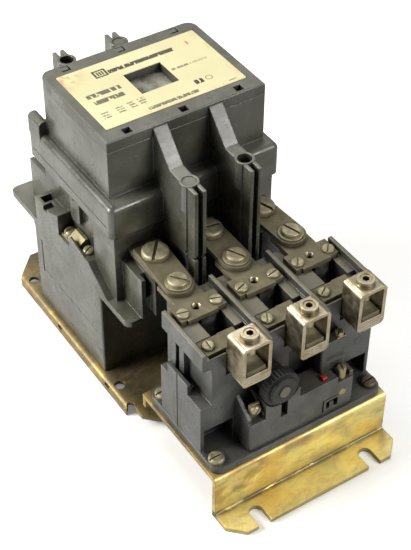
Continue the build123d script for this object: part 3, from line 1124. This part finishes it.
# Box lugs: a strip bent into a tube whose ends overlap at the bottom, with a collar for the screw.
LUG_STRIP_GAP = 0.6
COLLAR_RADIUS = 4.3
COLLAR_HEIGHT = 2.8
LUG_SCREW_RADIUS = 2.8
LUG_SCREW_FOOT = TANG_TOP + 5.5
LUG_SCREW_TOP = 104.2
lug_rear = LUG_FRONT_Y + LUG_DEPTH
lug_middle_y = (LUG_FRONT_Y + lug_rear) / 2
with BuildPart() as box_lugs:
    for pole in POLES:
        lug_x = pole * RELAY_PITCH + LUG_OFFSET_X
        inner_half = LUG_HALF_WIDTH - LUG_WALL
        with BuildSketch(Plane.XZ.offset(-lug_rear)):
            with Locations((lug_x, (LUG_BOTTOM + LUG_TOP) / 2)):
                RectangleRounded(2 * LUG_HALF_WIDTH, LUG_TOP - LUG_BOTTOM, 2.4)
            with Locations((lug_x, (tang_bottom + LUG_TOP - LUG_WALL) / 2)):
                RectangleRounded(2 * inner_half, LUG_TOP - LUG_WALL - tang_bottom, 0.8, mode=Mode.SUBTRACT)
        extrude(amount=LUG_DEPTH)
        # The folded strips under the tang are seen as thin gaps, alternately open left and right.
        for fold in range(3):
            gap_z = LUG_BOTTOM + LUG_WALL * 0.75 * (fold + 1)
            gap_x = lug_x + (LUG_HALF_WIDTH if fold % 2 == 0 else -LUG_HALF_WIDTH)
            gap_end = lug_x + (1.5 - inner_half if fold % 2 == 0 else inner_half - 1.5)
            block(min(gap_x, gap_end), max(gap_x, gap_end), LUG_FRONT_Y, lug_rear,
                  gap_z, gap_z + LUG_STRIP_GAP / 2, Mode.SUBTRACT)
        with Locations((lug_x, lug_middle_y, LUG_TOP + COLLAR_HEIGHT / 2)):
            Cylinder(COLLAR_RADIUS, COLLAR_HEIGHT)
        round_hole(lug_x, lug_middle_y, LUG_TOP - LUG_WALL - 1, LUG_TOP + COLLAR_HEIGHT + 1,
                   LUG_SCREW_RADIUS + RUNNING_FIT)
box_lugs.part.label = "box_lugs"
export_step(box_lugs.part, "parts/box_lugs.step")


def lug_screw(pole, name):
    """One pressure screw with its hexagon socket, which runs down inside the box lug."""
    screw_x = pole * RELAY_PITCH + LUG_OFFSET_X
    with BuildPart() as screw:
        with Locations((screw_x, lug_middle_y, (LUG_SCREW_FOOT + LUG_SCREW_TOP) / 2)):
            Cylinder(LUG_SCREW_RADIUS, LUG_SCREW_TOP - LUG_SCREW_FOOT)
        chamfer(screw.edges().group_by(Axis.Z)[0], 0.6)
        with BuildSketch(Plane.XY.offset(LUG_SCREW_TOP)):
            with Locations((screw_x, lug_middle_y)):
                RegularPolygon(1.75, 6)
        extrude(amount=-3.0, mode=Mode.SUBTRACT)
    screw.part.label = "lug_screw_" + name
    export_step(screw.part, "parts/lug_screw_" + name + ".step")


lug_screw(-1, "left")
lug_screw(0, "middle")
lug_screw(1, "right")

# ---------------------------------------------------------------- overload relay: trip gear and front
with BuildPart() as trip_bar:
    block(-38, 38, TRIP_BAR_Y - TRIP_BAR_HALF, TRIP_BAR_Y + TRIP_BAR_HALF, TRIP_BAR_BOTTOM, TRIP_BAR_TOP)
    for pole in POLES:
        finger_x = pole * RELAY_PITCH + BIMETAL_X + 1.6
        block(finger_x - 0.6, finger_x + 0.6, TRIP_BAR_Y - TRIP_BAR_HALF, TRIP_BAR_Y + TRIP_BAR_HALF,
              TRIP_BAR_TOP, TRIP_BAR_TOP + 7)
trip_bar.part.label = "trip_bar"
export_step(trip_bar.part, "parts/trip_bar.step")

COVER_LEFT = -29.5
COVER_RIGHT = 30.5
COVER_FRONT_Y = -91.5
COVER_SILL = 49.5
COVER_DECK = 53.5
POCKET_LEFT = -27.5
POCKET_RIGHT = -21.4
RISER_LEFT = -20.8
RISER_RIGHT = -1.5
RISER_TOP = 60.0
NOTCH_LEFT = 20.6
DIAL_RADIUS = 9.6
DIAL_HUB_RADIUS = 7.4
DIAL_RING_FRONT_Y = -91.2
DIAL_RING_REAR_Y = -86.5
DIAL_FACE_Y = -93.2
FLAG_X = 14.3
FLAG_Y = -88.2
FLAG_FOOT = 44.0
LATCH_LEFT = 12.5
LATCH_RIGHT = 21.5
LATCH_BOTTOM = 33.0
LATCH_TOP = 41.6
dial_room = DIAL_RADIUS + 0.5
with BuildPart() as relay_front_cover:
    block(COVER_LEFT, COVER_RIGHT, COVER_FRONT_Y, RELAY_FACE_Y, RELAY_FLOOR, COVER_SILL)
    fillet(relay_front_cover.edges().filter_by(Axis.Z).group_by(Axis.Y)[0], 1.5)
    block(RISER_RIGHT, NOTCH_LEFT, COVER_FRONT_Y, RELAY_FACE_Y, COVER_SILL, COVER_DECK)
    block(RISER_LEFT, RISER_RIGHT, COVER_FRONT_Y, RELAY_FACE_Y, COVER_SILL, RISER_TOP)
    block(COVER_RIGHT - 2, COVER_RIGHT, COVER_FRONT_Y + 1.5, RELAY_FACE_Y, COVER_SILL, COVER_SILL + 2.5)
    # Sloping cheeks of the pocket at the left.
    with BuildSketch(Plane.YZ.offset(COVER_LEFT)):
        with BuildLine():
            Polyline(
                (COVER_FRONT_Y + 1.5, COVER_SILL),
                (COVER_FRONT_Y + 1.5, COVER_SILL + 2.7),
                (RELAY_FACE_Y, RISER_TOP - 0.2),
                (RELAY_FACE_Y, COVER_SILL),
                close=True,
            )
        make_face()
    extrude(amount=RISER_LEFT - COVER_LEFT)
    block(POCKET_LEFT, POCKET_RIGHT, COVER_FRONT_Y, RELAY_FACE_Y, COVER_SILL, RISER_TOP, Mode.SUBTRACT)
    # Round seat for the dial, and the slot below it.
    with Locations(Location((DIAL_X, COVER_FRONT_Y + 6, DIAL_Z), (90, 0, 0))):
        Cylinder(dial_room, 16, mode=Mode.SUBTRACT)
    block(DIAL_X, DIAL_X + 3.6, COVER_FRONT_Y, COVER_FRONT_Y + 4, COVER_SILL - 4, RISER_TOP, Mode.SUBTRACT)
    # Latch window: a narrow frame groove, a hook tab and the open part beside it.
    block(LATCH_LEFT, LATCH_LEFT + 0.8, COVER_FRONT_Y, COVER_FRONT_Y + 1, LATCH_BOTTOM, LATCH_TOP,
          Mode.SUBTRACT)
    block(LATCH_LEFT, LATCH_RIGHT, COVER_FRONT_Y, COVER_FRONT_Y + 1, LATCH_TOP - 0.8, LATCH_TOP,
          Mode.SUBTRACT)
    block(LATCH_LEFT + 2.2, LATCH_RIGHT, COVER_FRONT_Y, COVER_FRONT_Y + 4, LATCH_BOTTOM + 1.4, LATCH_TOP - 2,
          Mode.SUBTRACT)
    block(LATCH_LEFT + 4.6, LATCH_RIGHT - 2, COVER_FRONT_Y + 0.6, COVER_FRONT_Y + 4, LATCH_BOTTOM + 1.4,
          LATCH_TOP - 4)
    # Guide slot of the trip flag, and the hollow back.
    block(FLAG_X - 1.5, FLAG_X + 1.5, FLAG_Y - 1.5, FLAG_Y + 1.5, FLAG_FOOT, COVER_DECK, Mode.SUBTRACT)
    block(COVER_LEFT + 2, COVER_RIGHT - 2, COVER_FRONT_Y + 5, RELAY_FACE_Y, RELAY_FLOOR + 2, FLAG_FOOT - 2,
          Mode.SUBTRACT)
relay_front_cover.part.label = "relay_front_cover"
export_step(relay_front_cover.part, "parts/relay_front_cover.step")

with BuildPart() as trip_flag:
    block(FLAG_X - 1.4, FLAG_X + 1.4, FLAG_Y - 1.4, FLAG_Y + 1.4, FLAG_FOOT, COVER_DECK + 1.5)
    fillet(trip_flag.edges().group_by(Axis.Z)[-1], 0.5)
trip_flag.part.label = "trip_flag"
export_step(trip_flag.part, "parts/trip_flag.step")

with BuildPart() as current_dial:
    with Locations(Location((DIAL_X, (DIAL_FACE_Y + RELAY_FACE_Y) / 2, DIAL_Z), (90, 0, 0))):
        Cylinder(DIAL_HUB_RADIUS, RELAY_FACE_Y - DIAL_FACE_Y)
    fillet(current_dial.edges().group_by(Axis.Y)[0], 0.7)
    with Locations(Location((DIAL_X, (DIAL_RING_FRONT_Y + DIAL_RING_REAR_Y) / 2, DIAL_Z), (90, 0, 0))):
        Cylinder(DIAL_RADIUS, DIAL_RING_REAR_Y - DIAL_RING_FRONT_Y)
    # Knurled rim.
    dial_plane = Plane(origin=(DIAL_X, DIAL_RING_FRONT_Y, DIAL_Z), x_dir=(1, 0, 0), z_dir=(0, -1, 0))
    with BuildSketch(dial_plane):
        with PolarLocations(DIAL_RADIUS, 30):
            Rectangle(0.9, 0.9)
    extrude(amount=DIAL_RING_FRONT_Y - DIAL_RING_REAR_Y, mode=Mode.SUBTRACT)
    with Locations(Location((DIAL_X, DIAL_FACE_Y, DIAL_Z), (90, 0, 0))):
        Cylinder(BUTTON_RADIUS + RUNNING_FIT, 40, mode=Mode.SUBTRACT)
current_dial.part.label = "current_dial"
export_step(current_dial.part, "parts/current_dial.step")

BUTTON_FRONT_Y = DIAL_FACE_Y - 0.6
BUTTON_REAR_Y = BUTTON_BORE_END_Y - 4.0
with BuildPart() as reset_button:
    with Locations(Location((DIAL_X, (BUTTON_FRONT_Y + BUTTON_REAR_Y) / 2, DIAL_Z), (90, 0, 0))):
        Cylinder(BUTTON_RADIUS, BUTTON_REAR_Y - BUTTON_FRONT_Y)
    fillet(reset_button.edges().group_by(Axis.Y)[0], 0.5)
reset_button.part.label = "reset_button"
export_step(reset_button.part, "parts/reset_button.step")

BLOCK_LEFT = 14.5
BLOCK_RIGHT = 28.4
BLOCK_FRONT_Y = -85.5
BLOCK_TOP = 72.5
BLOCK_SEAT_X = 25.8
BLOCK_SEAT_Y = -82.6
with BuildPart() as trip_contact_block:
    block(BLOCK_LEFT, BLOCK_RIGHT, BLOCK_FRONT_Y, RELAY_FACE_Y, COVER_DECK, BLOCK_TOP)
    fillet(trip_contact_block.edges().filter_by(Axis.Z).group_by(Axis.Y)[0], 0.8)
    # Contact chamber at the back, and the stepped seat of the upper terminal.
    block(BLOCK_LEFT + 2, BLOCK_RIGHT - 3, BLOCK_FRONT_Y + 2, RELAY_FACE_Y, COVER_DECK + 4, BLOCK_TOP - 6,
          Mode.SUBTRACT)
    block(BLOCK_SEAT_X - 2.8, BLOCK_RIGHT, BLOCK_FRONT_Y, RELAY_FACE_Y, BLOCK_TOP - TERMINAL_SHEET,
          BLOCK_TOP,
          Mode.SUBTRACT)
    round_hole(BLOCK_SEAT_X, BLOCK_SEAT_Y, BLOCK_TOP - 5, BLOCK_TOP, 1.2)
    # Ledges on the front face.
    block(BLOCK_LEFT + 3, BLOCK_RIGHT, BLOCK_FRONT_Y, BLOCK_FRONT_Y + 0.8, COVER_DECK + 6, COVER_DECK + 9.5,
          Mode.SUBTRACT)
trip_contact_block.part.label = "trip_contact_block"
export_step(trip_contact_block.part, "parts/trip_contact_block.step")

with BuildPart() as trip_contact_blade:
    block(BLOCK_LEFT + 3, BLOCK_RIGHT - 4, RELAY_FACE_Y - 2.6, RELAY_FACE_Y, COVER_DECK + 5.5,
          COVER_DECK + 10.5)
trip_contact_blade.part.label = "trip_contact_blade"
export_step(trip_contact_blade.part, "parts/trip_contact_blade.step")

# Signal terminals: a plate on the contact block, a post on the cover's sill and a clip in the pocket.
SIGNAL_SHANK = 1.2
SIGNAL_HEAD = 2.4
POST_X = 24.6
POST_Y = -88.3
POST_TOP = 54.4
CLIP_X = -24.4
CLIP_Z = 55.4
CLIP_FRONT_Y = -87.6
with BuildPart() as signal_terminals:
    block(BLOCK_SEAT_X - 2.5, BLOCK_RIGHT, BLOCK_SEAT_Y - 2.4, BLOCK_SEAT_Y + 2.4,
          BLOCK_TOP - TERMINAL_SHEET,
          BLOCK_TOP)
    round_hole(BLOCK_SEAT_X, BLOCK_SEAT_Y, BLOCK_TOP - 2, BLOCK_TOP, SIGNAL_SHANK)
    with Locations((POST_X, POST_Y, (COVER_SILL + POST_TOP) / 2)):
        Cylinder(SIGNAL_HEAD, POST_TOP - COVER_SILL)
    round_hole(POST_X, POST_Y, POST_TOP - 3, POST_TOP, SIGNAL_SHANK)
    block(CLIP_X - 2.7, CLIP_X + 2.7, CLIP_FRONT_Y, CLIP_FRONT_Y + TERMINAL_SHEET, COVER_SILL, CLIP_Z + 3)
    block(CLIP_X - 2.7, CLIP_X + 2.7, CLIP_FRONT_Y, RELAY_FACE_Y, COVER_SILL, COVER_SILL + TERMINAL_SHEET)
    with Locations(Location((CLIP_X, CLIP_FRONT_Y, CLIP_Z), (90, 0, 0))):
        Cylinder(SIGNAL_SHANK, 4, mode=Mode.SUBTRACT)
signal_terminals.part.label = "signal_terminals"
export_step(signal_terminals.part, "parts/signal_terminals.step")

with BuildPart() as signal_terminal_screws:
    with Locations((BLOCK_SEAT_X, BLOCK_SEAT_Y, BLOCK_TOP)):
        add(slotted_screw(SIGNAL_HEAD, 2.0, SIGNAL_SHANK, 5, turn=40))
    with Locations((POST_X, POST_Y, POST_TOP)):
        add(slotted_screw(SIGNAL_HEAD, 1.8, SIGNAL_SHANK, 3, turn=75))
    with Locations(Location((CLIP_X, CLIP_FRONT_Y, CLIP_Z), (90, 0, 0))):
        add(slotted_screw(2.7, 2.2, SIGNAL_SHANK, 3, turn=55))
signal_terminal_screws.part.label = "signal_terminal_screws"
export_step(signal_terminal_screws.part, "parts/signal_terminal_screws.step")

with BuildPart() as relay_foot_screws:
    foot_screw = slotted_screw(3.9, 2.6, FOOT_SCREW_SHANK, FOOT_THICKNESS + BRACKET_SHEET)
    for foot_x, foot_y in ((RELAY_EAR_X, RELAY_EAR_Y), (RELAY_REAR_FOOT_X, RELAY_REAR_FOOT_Y)):
        with Locations((0, foot_y, RELAY_FLOOR)):
            with GridLocations(2 * foot_x, 1, 2, 1):
                add(foot_screw)
relay_foot_screws.part.label = "relay_foot_screws"
export_step(relay_foot_screws.part, "parts/relay_foot_screws.step")
